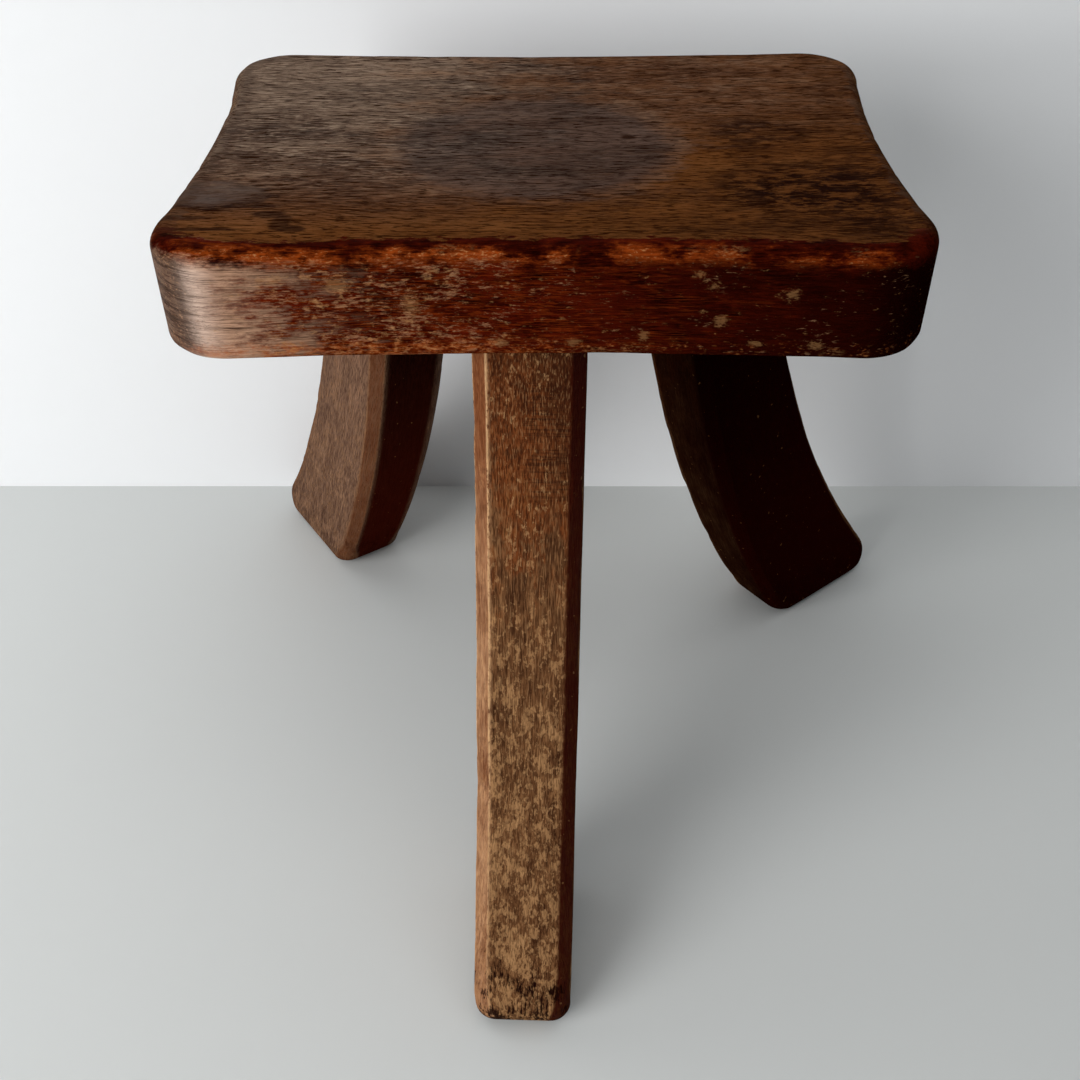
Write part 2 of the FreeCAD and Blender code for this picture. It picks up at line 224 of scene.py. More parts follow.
class StoolStage(bpy.types.PropertyGroup):
    """Camera, floor and light."""
    eye: FloatVectorProperty(name="Eye", description="Camera from the middle of the seat's top",
                             default=(0.0039, -0.5426, 0.2166), unit="LENGTH", subtype="TRANSLATION")
    heading: angle("Heading", "Turn of the camera about the vertical", 0.0135)
    tilt: angle("Tilt", "How far the camera looks down", 0.6927)
    roll: angle("Roll", "Turn of the camera about its own axis", -0.0078)
    lens: FloatProperty(name="Lens", description="Focal length", default=41.67, subtype="DISTANCE_CAMERA")
    floor: colour("Floor", "Plain pale floor", (210, 213, 212))
    wall: colour("Wall", "Plain pale wall", (236, 238, 240))
    window: power("Window", "Strength of the soft lamp at the left", 38)
    ceiling: power("Ceiling", "Strength of the wide lamp overhead", 13.5)
    behind: power("Behind", "Strength of the wide lamp behind the wall", 6)
    room: FloatProperty(name="Room", description="Strength of the light all round", default=0.10)


def math_node(operation, swapped=False):
    """A method that adds a Math node for a wire and what it is given."""
    def method(self, *others):
        return self.tree.sum(operation, *((*others, self) if swapped else (self, *others)))
    return method


class Wire:
    """One output of a node. Sums and products of wires add their own Math nodes."""
    __add__ = math_node("ADD")
    __radd__ = math_node("ADD", True)
    __sub__ = math_node("SUBTRACT")
    __rsub__ = math_node("SUBTRACT", True)
    __mul__ = math_node("MULTIPLY")
    __rmul__ = math_node("MULTIPLY", True)
    __truediv__ = math_node("DIVIDE")
    least = math_node("MINIMUM")
    most = math_node("MAXIMUM")
    below = math_node("LESS_THAN")
    root = math_node("SQRT")
    sine = math_node("SINE")
    __abs__ = math_node("ABSOLUTE")

    def __init__(self, tree, socket):
        self.tree = tree
        self.socket = socket

    def __getitem__(self, name):
        return Wire(self.tree, pick(self.socket.node.outputs, name))

    def coat(self, share, tone):
        """This colour, covered by a share of another."""
        return self.tree.mix(share, self, tone)

    def ease(self, low, high, start=0.0, end=1.0, smooth=True):
        """Runs from start to end while this value goes from low to high, and stays there."""
        inputs = {"Value": self, "From Min": low, "From Max": high, "To Min": start, "To Max": end}
        kind = "SMOOTHSTEP" if smooth else "LINEAR"
        return self.tree.add("ShaderNodeMapRange", inputs, interpolation_type=kind)

    def tones(self, *stops):
        """A colour that runs through its stops as this value goes from 0 to 1."""
        ramp = self.tree.add("ShaderNodeValToRGB", {"Fac": self})
        band = ramp.socket.node.color_ramp
        while len(band.elements) < len(stops):
            band.elements.new(1)
        for element, (place, tone) in zip(band.elements, stops):
            element.position = place
            element.color = (*tone[:3], 1)
        return ramp["Color"]

    def axes(self):
        parts = self.tree.add("ShaderNodeSeparateXYZ", {"Vector": self})
        return parts["X"], parts["Y"], parts["Z"]

    def scaled(self, scale, shift=(0, 0, 0)):
        """These coordinates, with each axis drawn out on its own."""
        return self.tree.add("ShaderNodeVectorMath", {0: self, 1: scale, 2: shift}, operation="MULTIPLY_ADD")

    def clouds(self, scale, shift, detail, rough=0.55):
        """A soft noise, with features about as long as one over the scale along X, Y and, if given, Z."""
        inputs = {"Vector": self.scaled((*scale[:2], scale[-1]), shift), "Scale": 1.0, "Detail": detail,
                  "Roughness": rough}
        return self.tree.add("ShaderNodeTexNoise", inputs)


def pick(sockets, key):
    """The live socket of this name, or at this place."""
    if isinstance(key, int):
        return sockets[key]
    return next(socket for socket in sockets if socket.enabled and socket.name == key)


class Tree:
    """A node tree that is written as expressions."""

    def __init__(self, nodes):
        self.nodes = nodes

    def add(self, kind, inputs=None, **settings):
        """Adds a node, with its settings first and then the values or wires of its sockets."""
        node = self.nodes.nodes.new(kind)
        for name, value in settings.items():
            setattr(node, name, value)
        for key, value in (inputs or {}).items():
            socket = pick(node.inputs, key)
            if isinstance(value, Wire):
                self.nodes.links.new(value.socket, socket)
            elif socket.type == "RGBA":
                socket.default_value = (*value[:3], 1)
            else:
                socket.default_value = value
        return Wire(self, next(iter(node.outputs))) if len(node.outputs) else None

    def sum(self, operation, *terms):
        return self.add("ShaderNodeMath", dict(enumerate(terms)), operation=operation)

    def mix(self, share, first, second):
        """Two colours, mixed by a share."""
        inputs = {"Factor": share, "A": first, "B": second}
        return self.add("ShaderNodeMix", inputs, data_type="RGBA")["Result"]

    def keep(self, mesh, name, value, kind="FLOAT"):
        """Stores a value on a mesh's points under a name."""
        return self.add("GeometryNodeStoreNamedAttribute", {"Geometry": mesh, "Name": name, "Value": value},
                        data_type=kind, domain="POINT")

    def read(self, name, output="Fac"):
        """What a mesh keeps under a name."""
        return self.add("ShaderNodeAttribute", attribute_name=name)[output]

    def join(self, x, y, z):
        return self.add("ShaderNodeCombineXYZ", {"X": x, "Y": y, "Z": z})


def new_finish(name):
    """An empty material, and its tree."""
    material = bpy.data.materials.new(name)
    material.use_nodes = True
    material.node_tree.nodes.clear()
    return material, Tree(material.node_tree)


def close_finish(tree, tone, roughness, height, depth=0.25 * MM, **fixed):
    """Ends a material's tree in one surface with its colour, gloss and relief."""
    relief = tree.add("ShaderNodeBump", {"Height": height, "Strength": 1.0, "Distance": depth})
    inputs = {"Base Color": tone, "Roughness": roughness, "Normal": relief}
    inputs.update({name.replace("_", " "): value for name, value in fixed.items()})
    surface = tree.add("ShaderNodeBsdfPrincipled", inputs)
    tree.add("ShaderNodeOutputMaterial", {"Surface": surface})


def patch(x, y, middle, reach, ragged=0.0, edge=0.35):
    """A soft oval mark on the seat: 1 inside, 0 outside."""
    away_x = (x - middle[0]) / reach[0]
    away_y = (y - middle[1]) / reach[1]
    far = (away_x * away_x + away_y * away_y).root() + ragged
    return far.ease(1 + edge, 1 - edge)


def seat_patterns(tree, straight):
    """What the seat's tones are made of: bands, streaks and pores along a wandering grain, clouds, flakes."""
    x, y, z = straight.axes()
    drift = (straight.clouds((0.008, 0.02), (6, 1, 3), 2, 0.5) - 0.5) * 14
    spot = tree.join(x, y + drift, z + drift * 0.5)
    lines = spot.clouds((0.035, 1.1), (9, 4, 6), 2, 0.5)
    hairs = spot.clouds((0.17, 1.4), (5, 3, 8), 2, 0.5)
    return SimpleNamespace(
        x=x, y=y, z=z, drift=drift,
        down=tree.read("down") / MM,
        front=y.ease(-82, -100),
        bands=spot.clouds((0.006, 0.09), (3, 1, 5), 3, 0.6).ease(*WIDE_RANGE),
        streaks=spot.clouds((0.10, 1.00), (1, 7, 2), 4, 0.7).ease(*WIDE_RANGE),
        pores=hairs.ease(0.565, 0.615).most(lines.ease(0.615, 0.645)),
        gleams=hairs.ease(0.43, 0.37),
        cloudy=straight.clouds((0.020, 0.040), (8, 2, 6), 4, 0.6).ease(*WIDE_RANGE),
        mottle=straight.clouds((0.05, 0.11), (1, 5, 9), 5, 0.7).ease(*NARROW_RANGE),
        ragged=(straight.clouds((0.07, 0.18), (2, 9, 4), 5, 0.7) - 0.5) * 2.4,
        spotted=straight.clouds((0.075, 0.17), (5, 1, 7), 5, 0.7),
        flakes=straight.clouds((0.20, 0.40), (4, 4, 1), 4, 0.65),
        fine=spot.clouds((0.50, 1.05), (7, 1, 3), 3, 0.65),
    )


def seat_top(tree, finish, wood):
    """The top: warm brown to the right, greyed to the left, with dark blotches and a round water stain."""
    x, y, ragged = wood.x, wood.y, wood.ragged
    bands, streaks, cloudy, mottle = wood.bands, wood.streaks, wood.cloudy, wood.mottle
    grit = wood.fine.ease(0.35, 0.65)
    grain = bands * 0.26 + streaks * 0.26 + cloudy * 0.24 + mottle * 0.16 + grit * 0.08
    even = 0.14 + bands * 0.20 + streaks * 0.26 + cloudy * 0.18 + mottle * 0.12 + grit * 0.10
    warm = even.tones((0.12, finish.oak_dark), (0.55, finish.oak_mid), (1.0, finish.oak_light))
    grey = grain.tones((0.12, finish.grey_dark_and_shade), (0.50, finish.grey_mid), (1.0, finish.grey_light))
    greyed = (x + (cloudy - 0.5) * 90 + (mottle - 0.5) * 40).ease(67, -78) * y.ease(-100, -10)
    greyed = greyed.most(y.ease(-15, 45) * x.ease(160, 60, 0.4, 1.0) * (0.26 + mottle * 0.24))
    top = tree.mix(greyed * 0.9, warm, grey)
    bleached = y.ease(-15, 70) * x.ease(20, -110) * (0.3 + streaks * 0.4)
    top = top.coat(bleached * 0.5, finish.grey_light)

    # Blotches to the right, and a damp patch with dark marks around it at the front left.
    soot = tree.mix(0.35, finish.oak_dark, finish.varnish_deep_and_shade)
    dark = (wood.spotted * 0.85 + wood.fine * 0.15).ease(0.44, 0.53, 0.2, 1.0)
    for place, reach, depth in BLOTCHES:
        top = top.coat(patch(x, y, place, reach, ragged * 0.4, 0.5) * dark * depth, soot)
    damp = patch(x, y, *DAMP_MARK, ragged * 0.6, 0.35)
    shore = patch(x, y, *DAMP_SHORE, ragged * 0.6, 0.2) - damp
    top = top.coat(shore.most(0) * 0.9, finish.oak_dark)
    top = top.coat(damp * 0.6, tree.mix(streaks * 0.6 + cloudy * 0.2, finish.damp, finish.grey_dark_and_shade))
    for place, reach in DARK_MARKS:
        top = top.coat(patch(x, y, place, reach, ragged * 0.7, 0.3) * 0.8, finish.oak_dark)

    # The water stain with its pale ring, then flecks and pores over everything.
    oval = patch(x, y, *WATER_STAIN, ragged * 0.16, 0.14)
    ring = patch(x, y, *STAIN_RING, ragged * 0.16, 0.07) - oval
    top = top.coat(ring.most(0) * x.ease(0, 50) * 0.18, finish.grey_light)
    wet = tree.mix(grain.ease(0.1, 0.8), finish.grey_dark_and_shade, finish.stain)
    top = top.coat(oval * x.ease(60, -50, 0.8, 0.65), wet)
    top = top.coat(patch(x, y, *STAIN_DROP, ragged * 0.6, 0.4) * 0.9, finish.oak_dark)
    flecked = wood.gleams * (0.22 + greyed * mottle * 0.7) * (1 - oval * 0.6) * (1 - damp)
    top = top.coat(flecked, tree.mix(greyed, finish.oak_light, finish.grey_light))
    top = top.coat(wood.pores * (0.85 - damp * 0.5), finish.oak_dark)
    return top, warm, greyed


def seat_sides(tree, finish, wood):
    """The sides: varnish that is rubbed off at the left of the front, with a painted sheen and a painted
    highlight there, and almost black at its right, partly darker varnish and partly painted shade.
    """
    x, down, front = wood.x, wood.down, wood.front
    cloudy, mottle, flakes, fine = wood.cloudy, wood.mottle, wood.flakes, wood.fine
    grain = wood.streaks * 0.40 + cloudy * 0.25 + mottle * 0.35
    side = grain.tones((0.12, finish.varnish_deep_and_shade), (0.95, finish.varnish))
    # Painted shade, partly darker varnish: the front darkens towards its right, and most of all at its right
    # corner.
    darker_and_shaded_right = (x + (mottle - 0.5) * 60).ease(-10, 125) * (0.3 + front * 0.55)
    side = side.coat(darker_and_shaded_right, finish.varnish_deep_and_shade)
    side = side.coat((x + (mottle - 0.5) * 12).ease(118, 138) * front * 0.95, finish.varnish_deep_and_shade)
    facing = tree.join(x + wood.y * 0.3, wood.y * 0.1, wood.z + wood.drift * 0.5)
    scored = facing.clouds((0.055, 2.4), (2, 3, 1), 3, 0.6)
    flowing = facing.clouds((0.05, 0.45), (4, 6, 2), 4, 0.65).ease(*WIDE_RANGE)
    threads = scored.ease(0.52, 0.64).most(wood.gleams * 0.7) * (x + (mottle - 0.5) * 80).ease(90, -40)
    side = side.coat(threads * 0.5, tree.mix(0.5, finish.varnish, finish.edge_orange))

    # The rubbed left end, partly painted sheen, with a painted highlight on its corner and painted shade at
    # the far left of the corner.
    rubbed_and_sheen = (x + (mottle - 0.5) * 44 + (flowing - 0.5) * 24 + (cloudy - 0.5) * 16).ease(-78, -130)
    inked = scored.ease(0.48, 0.62) * 0.55 + flowing.ease(0.8, 0.0) * 0.30 + x.ease(-128, -80) * 0.40
    inked = (inked - down.ease(36, 46) * 0.2).most(0)
    faded = tree.mix(inked.least(0.9), finish.rubbed, finish.oak_dark)
    # Painted highlight: a pale streak down the front left corner.
    corner_highlight = x.ease(-144, -137) * x.ease(-122, -136) * down.ease(8, 13) * down.ease(50, 42) * front
    faded = faded.coat(corner_highlight * (1 - inked * 0.8).most(0) * 0.48, finish.corner_highlight)
    # Painted shade: the far left of the corner goes dark grey.
    turned = x.ease(-133, -142) * (0.78 + flowing.ease(0.8, 0.0) * 0.15 - fine.ease(0.55, 0.66) * 0.3)
    faded = faded.coat(turned, finish.grey_dark_and_shade)
    side = side.coat(rubbed_and_sheen * (0.4 + front * 0.55), faded)

    # Specks and chips, which crowd to the left of the middle.
    crowd = x.ease(-150, -70, -0.05, 0.042) - x.ease(-60, 40, 0.0, 0.122)
    dashes = facing.clouds((0.30, 1.15), (3, 8, 9), 3, 0.65)
    specks = (flakes * 0.25 + dashes * 0.75 + crowd + (mottle - 0.5) * 0.14).ease(0.54, 0.70)
    chips = (flakes * 0.70 + fine * 0.30 + crowd * 0.7 + (wood.spotted - 0.5) * 0.34).ease(0.55, 0.70)
    side = side.coat(specks * 0.40, tree.mix(0.5, finish.rubbed, finish.bare))
    side = side.coat(chips * 0.42, finish.bare)
    torn = (fine - 0.5) * 4.4 + (flakes - 0.5) * 3.6
    for place, reach in CHIPS:
        side = side.coat(patch(x, wood.z, place, reach, torn, 0.6) * front * 0.25, finish.bare)
    return side, inked


def seat_finish(finish, middle):
    """Dark stained oak with a water stain, rubbed edges and chipped varnish on its sides."""
    material, tree = new_finish("stained_oak_seat")
    objects = tree.add("ShaderNodeTexCoord")["Object"]
    wood = seat_patterns(tree, objects.scaled((1 / MM,) * 3, [-part / MM for part in middle]))
    top, warm, greyed = seat_top(tree, finish, wood)
    side, inked = seat_sides(tree, finish, wood)

    # The band rubbed down to orange along the front edges. Elsewhere the edges take after the top.
    x, down, front = wood.x, wood.down, wood.front
    streaks, mottle, flakes, fine, pores = wood.streaks, wood.mottle, wood.flakes, wood.fine, wood.pores
    edge = down + (flakes - 0.5) * 7 + (mottle - 0.5) * 4 + x.ease(-100, -135) * 3
    fringe = (down + (wood.spotted - 0.5) * 26 + (flakes - 0.5) * 6).ease(-2.2, 0.2) * front
    band = edge.ease(-0.5, 1.2) * edge.ease(14.0, 8.0)
    glow = flakes * 0.30 + fine * 0.20 + mottle * 0.35 + streaks * 0.15
    glow = glow + x.ease(120, -130) * 0.12 - x.ease(-132, -150) * 0.3 - x.ease(128, 146) * 0.4
    glow = glow.ease(0.37, 0.94) * edge.ease(1.5, 8.5) * front
    rim = tree.mix(mottle * 0.5 + streaks * 0.3, finish.varnish_deep_and_shade, finish.varnish)
    turning = tree.mix(mottle * 0.5 + streaks * 0.3, finish.oak_dark, finish.grey_mid)
    rim = tree.mix(front, tree.mix(0.3 + mottle * 0.3, top, turning), rim)
    rim = rim.coat(glow, finish.edge_orange)
    rim = rim.coat(fine.ease(0.54, 0.68) * glow.ease(0.2, 0.8) * 0.6, finish.bare)
    lower = (flakes * 0.6 + fine * 0.4 - x.ease(-60, 60) * 0.12).ease(0.40, 0.62) * (0.2 + front * 0.8)
    lower = lower * (down + (flakes - 0.5) * 8).ease(42.0, 48.0) * x.ease(-150, -125, 0.2, 1.0)
    low_tone = tree.mix(fine.ease(0.46, 0.66) * 0.5, finish.edge_orange, finish.bare)

    tone = tree.mix(edge.ease(-0.3, 1.5), top, side)
    tone = tone.coat(fringe * (1 - edge.ease(2.0, 5.0)), rim)
    tone = tone.coat(band, rim)
    tone = tone.coat(lower * 0.70, low_tone)
    tone = tone.coat(down.ease(54, 58), warm)
    tone = tone.coat(tree.read("wear").ease(0.5, 1.0) * fine.ease(0.45, 0.62) * 0.2, finish.bare)

    roughness = 0.60 + (wood.cloudy - 0.5) * 0.14 + pores * 0.12
    relief = streaks * 0.35 - pores * 0.8 + flakes * 0.4
    polish = x.ease(-105, -134) * x.ease(-148, -138, 0.3, 1.0) * down.ease(6, 14)
    polish = polish * (0.6 - inked * 0.5).most(0) * front
    sheen = (greyed * 0.10 + 0.02) * down.ease(6, 0) * (1 - pores)
    close_finish(tree, tone, roughness, relief, Specular_IOR_Level=0.0,
                 Coat_Weight=polish + sheen, Coat_Roughness=0.32)
    return material


def leg_patterns(spot):
    """What a leg's tones are made of: bands, streaks, pores, clouds, flakes, nicks and a saw's marks."""
    hairs = spot.clouds((0.17, 2.0), (2, 6, 1), 1, 0.5)
    return SimpleNamespace(
        across=spot.axes()[1],
        bands=spot.clouds((0.006, 0.09), (1, 2, 3), 3, 0.6).ease(*WIDE_RANGE),
        streaks=spot.clouds((0.08, 0.90), (4, 1, 7), 4, 0.7).ease(*WIDE_RANGE),
        pores=hairs.ease(0.56, 0.63),
        gleams=hairs.ease(0.43, 0.35),
        cloudy=spot.clouds((0.018, 0.040), (6, 3, 2), 4, 0.6).ease(*WIDE_RANGE),
        mottle=spot.clouds((0.06, 0.11), (3, 8, 5), 4, 0.65).ease(*NARROW_RANGE),
        flakes=spot.clouds((0.22, 0.36), (3, 5, 4), 4, 0.6),
        fine=spot.clouds((0.50, 0.85), (9, 2, 5), 3, 0.65),
        saw=spot.clouds((1.10, 0.04), (5, 5, 2), 2, 0.6).ease(0.49, 0.59),
        nicks=spot.clouds((0.34, 0.42), (2, 2, 8), 1, 0.5).ease(0.735, 0.79),
    )


def leg_faces(tree, finish, wood, look):
    """Stained wood: redder towards the seat, darkened under the seat by painted shade, scuffed pale towards
    the floor.
    """
    height, across, scuffing = wood.height, wood.across, look.scuffing
    streaks, mottle, fine = wood.streaks, wood.mottle, wood.fine
    grained = wood.bands * 0.15 + streaks * 0.40 + wood.cloudy * 0.20 + mottle * 0.25
    tone = grained.tones((0.08, finish.leg_dark_and_shade), (0.60, finish.leg_mid), (1.0, finish.leg_light))
    red = grained.tones((0.08, finish.leg_dark_and_shade), (0.60, finish.leg_red), (1.0, finish.oak_light))
    tone = tone.coat((height + (mottle - 0.5) * 70).ease(175, 245) * 0.9, red)
    # Partly faded wood, partly painted light: the leg that faces the lamp most is painted paler and greyer.
    faded = tree.mix(0.35 + streaks * 0.45 + mottle * 0.2, finish.leg_dark_and_shade, finish.leg_faded_lit)
    tone = tone.coat(look.grey, faded)
    # Painted shade: the top of the leg under the seat, and its right part there, go darker.
    upper_shade = (across + (mottle - 0.5) * 12).ease(-2, 14) * height.ease(205, 245) * 0.5
    upper_shade = upper_shade + height.ease(235, 290) * 0.3
    tone = tone.coat(upper_shade * scuffing, finish.leg_dark_and_shade)
    sawn = wood.saw * height.ease(222, 238) * height.ease(286, 272) * across.ease(-6, 3)
    sawn = sawn * (0.55 + mottle * 0.45)
    tone = tone.coat(sawn * 0.85 * scuffing, finish.leg_dark_and_shade)
    low = height.ease(265, 110)
    scuffed = wood.flakes * 0.70 + fine * 0.30 + (low - 0.5) * 0.10 + (mottle - 0.5) * 0.10
    scuffed = scuffed - height.ease(20, 60) * 0.012
    scuffs = scuffed.ease(0.525, 0.60)
    around = scuffed.ease(0.475, 0.525) * (1 - scuffs) * 0.35 * scuffing * low
    tone = tone.coat(around, finish.leg_dark_and_shade)
    tone = tone.coat(scuffs * (0.35 + fine.ease(0.35, 0.6) * 0.25) * scuffing, finish.leg_light)
    tone = tone.coat(wood.gleams * 0.25 * scuffing, finish.leg_light)
    tone = tone.coat(wood.pores * low.ease(0.0, 1.0, 0.65, 0.35), finish.leg_dark_and_shade)
    return tone, grained, scuffs, sawn


def leg_finish(finish, name, look):
    """Stained oak of one leg, aged and given painted light and shade as its look says."""
    material, tree = new_finish("stained_oak_" + name)
    wood = leg_patterns(tree.read("grain", "Vector").scaled((1 / MM,) * 3))
    wood.height = tree.add("ShaderNodeTexCoord")["Object"].axes()[2] / MM
    tone, grained, scuffs, sawn = leg_faces(tree, finish, wood, look)

    # Bevels: rubbed on the side that faces the lamp, and painted dark on the other side as painted shade.
    height, depth, rubbing = wood.height, look.depth, look.rubbing
    streaks, flakes, pores = wood.streaks, wood.flakes, wood.pores
    inner, bevel = tree.read("inner"), tree.read("bevel")
    left = tree.read("left")
    lit_side = left if look.worn_left else 1 - left
    bare_oak = tree.mix(0.6, finish.bare, finish.rubbed)
    thin = tree.mix((0.5 + streaks * 0.3) * (1 - rubbing), finish.leg_red, finish.leg_dark_and_shade)
    thin = thin.coat(grained * rubbing * height.ease(280, 170, 0.2, 1.0), bare_oak)
    tone = tone.coat(bevel * lit_side * min(rubbing * 5.5, 0.85 - rubbing * 0.2), thin)
    # Painted shade: the bevel away from the lamp goes dark wine red.
    shade_bevel = tree.mix(0.4, finish.varnish_deep_and_shade, finish.varnish)
    tone = tone.coat(bevel * (1 - lit_side) * 0.92 * rubbing, shade_bevel)

    # Painted shade, partly varnish kept from wear: each inner face goes dark red to near-black, and so does
    # the darkest leg, most of all on its flank away from the lamp.
    shaded = depth * (0.35 + tree.read("flank") * 0.65)
    stained = tree.mix(height.ease(60, 240, 0.12, 0.0), finish.varnish_deep_and_shade, finish.varnish)
    stained = tree.mix(shaded, tone, stained)
    inside = height.ease(50, 260, 0.42, 0.0) + (streaks - 0.5) * 0.10
    inside = tree.mix(inside.most(0) * (1 - depth), finish.varnish_deep_and_shade, finish.varnish)
    inside = tree.mix(0.97 - depth * 0.06, tone, inside)
    tone = tree.mix(inner, stained, inside)

    knocked = tree.read("wear").ease(0.35, 0.9) * flakes.ease(0.42, 0.58)
    knocked = knocked * (0.15 + lit_side * 0.85) * rubbing
    tone = tone.coat(knocked * 0.35, finish.bare)
    # Partly rubbed wear, partly painted highlight: a pale line along the arris on the side that faces the
    # lamp.
    bright = tree.read("line") * lit_side * (wood.fine * 0.5 + flakes * 0.5).ease(0.40, 0.50)
    tone = tone.coat(bright * height.ease(20, 160, 0.4, 1.0) * 0.85 * rubbing, finish.arris_wear_and_glint)
    tone = tone.coat(wood.nicks * (0.28 - depth * 0.08), finish.bare)
    soaked = (height + (streaks - 0.5) * 26 + (wood.mottle - 0.5) * 34).ease(20, 7)
    tone = tone.coat(soaked * (0.15 + look.scuffing * 0.75), finish.varnish_deep_and_shade)

    roughness = 0.58 + (wood.cloudy - 0.5) * 0.14 + scuffs * 0.12 + pores * 0.1
    relief = streaks * 0.35 - pores * 0.8 + flakes * 0.4 - sawn * 0.3
    kept = shaded.most(inner)
    close_finish(tree, tone, roughness, relief, Specular_IOR_Level=0.0,
                 Coat_Weight=(1 - kept) * (1 - scuffs) * 0.06, Coat_Roughness=0.4)
    return material


def beech_finish(finish):
    """Plain pale beech with short flecks."""
    material, tree = new_finish("beech_dowel")
    spot = tree.add("ShaderNodeTexCoord")["Object"].scaled((1 / MM,) * 3)
    streaks = spot.clouds((0.8, 0.8, 0.04), (2, 5, 1), 4, 0.6)
    flecks = spot.clouds((1.6, 1.6, 0.25), (3, 1, 6), 2, 0.5).ease(0.60, 0.72)
    tone = tree.mix(streaks.ease(0.3, 0.7) * 0.35, finish.beech, finish.leg_light)
    tone = tone.coat(flecks * 0.4, finish.leg_mid)
    close_finish(tree, tone, 0.55 + flecks * 0.1, streaks - flecks * 0.5, depth=0.1 * MM)
    return material


def seat_ring(sizes, inset):
    """The seat's outline, drawn in by an inset: four hollow sides and four round corners."""
    half_length = sizes.length / 2
    half_depth = sizes.depth / 2
    corner = sizes.corner_radius
    end_radius = (half_depth ** 2 + sizes.end_hollow ** 2) / (2 * sizes.end_hollow)
    side_radius = (half_length ** 2 + sizes.side_hollow ** 2) / (2 * sizes.side_hollow)
    end_centre = half_length - sizes.end_hollow + end_radius
    side_centre = half_depth - sizes.side_hollow + side_radius

    # A corner's centre lies one corner radius inside both of the hollow curves.
    apart = math.hypot(end_centre, side_centre)
    along = ((end_radius + corner) ** 2 - (side_radius + corner) ** 2 + apart ** 2) / (2 * apart)
    aside = math.sqrt((end_radius + corner) ** 2 - along ** 2)
    corner_x = end_centre - (along * end_centre + aside * side_centre) / apart
    corner_y = (along * side_centre - aside * end_centre) / apart
    end_turn = math.atan2(corner_y, corner_x - end_centre)
    side_turn = math.atan2(corner_y - side_centre, corner_x)

    wide, deep, tight = end_radius + inset, side_radius + inset, corner - inset
    turn = math.pi
    arcs = (
        ((end_centre, 0), wide, 2 * turn - end_turn, end_turn, END_STEPS),
        ((corner_x, corner_y), tight, end_turn - turn, side_turn + turn, CORNER_STEPS),
        ((0, side_centre), deep, side_turn, -turn - side_turn, SIDE_STEPS),
        ((-corner_x, corner_y), tight, -side_turn, 2 * turn - end_turn, CORNER_STEPS),
    )
    half = []
    for (x, y), radius, first, last, steps in arcs:
        for step in range(steps):
            bearing = first + (last - first) * step / steps
            half.append((x + radius * math.cos(bearing), y + radius * math.sin(bearing)))
    return half + [(-x, -y) for x, y in half]


def quarter_turn(steps):
    """Angles from the first step up to a right angle."""
    return [step / steps * math.pi / 2 for step in range(1, steps + 1)]


def seat_profile(sizes, thickness):
    """From the middle of the top to the middle of the underside: share of the outline, inset, height
    from the top, and the way down the edge, which is less than 0 on the top."""
    high, low = sizes.top_edge, sizes.bottom_edge
    shares = [step / TOP_STEPS for step in range(1, TOP_STEPS + 1)]
    rows = [(share, high, 0, -FLAT_WAY * (1 - share)) for share in shares]
    for turn in quarter_turn(TOP_EDGE_STEPS):
        rows.append((1, high * (1 - math.sin(turn)), -high * (1 - math.cos(turn)), high * turn))
    way = rows[-1][3]
    side = thickness - high - low
    for step in range(1, FACE_STEPS + 1):
        rows.append((1, 0, -high - side * step / FACE_STEPS, way + side * step / FACE_STEPS))
    way = rows[-1][3]
    for turn in quarter_turn(BOTTOM_EDGE_STEPS):
        height = low * (1 - math.sin(turn)) - thickness
        rows.append((1, low * (1 - math.cos(turn)), height, way + low * turn))
    way = rows[-1][3]
    for step in range(1, UNDER_STEPS):
        rows.append((1 - step / UNDER_STEPS, low, -thickness, way + FLAT_WAY * step / UNDER_STEPS))
    return rows


def nearness(down, place, spread):
    """1 at a place on the way down the edge, less and less away from it."""
    return math.exp(-(((down - place) / spread) ** 2))


def wear_seat(sizes, point, inward, down):
    """Where a point of the seat lies after years of use, and how worn it is."""
    under = nearness(down, *BOTTOM_ARRIS)
    knock = noise.noise(point * BROAD_KNOCKS + KNOCK_SHIFT) + 0.5 * noise.noise(point * FINE_KNOCKS)
    worn = (nearness(down, *TOP_ARRIS) + under) * max(0.0, knock)
    if down < 0:
        waves, height = TOP_WAVES
        shift = Vector((0, 0, noise.noise(point * waves) * height * MM - sizes.dish * 0.3))
    else:
        uneven = sum(noise.noise(point * waves) * height * MM for waves, height in SIDE_WAVES)
        shift = inward * (uneven * (1 - under) + worn * sizes.edge_wear)
    return point + shift, min(1.0, worn * 1.6)


def seat_middle():
    """The middle of the seat's top."""
    low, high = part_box("seat")
    return Vector(((low.x + high.x) / 2, (low.y + high.y) / 2, high.z))


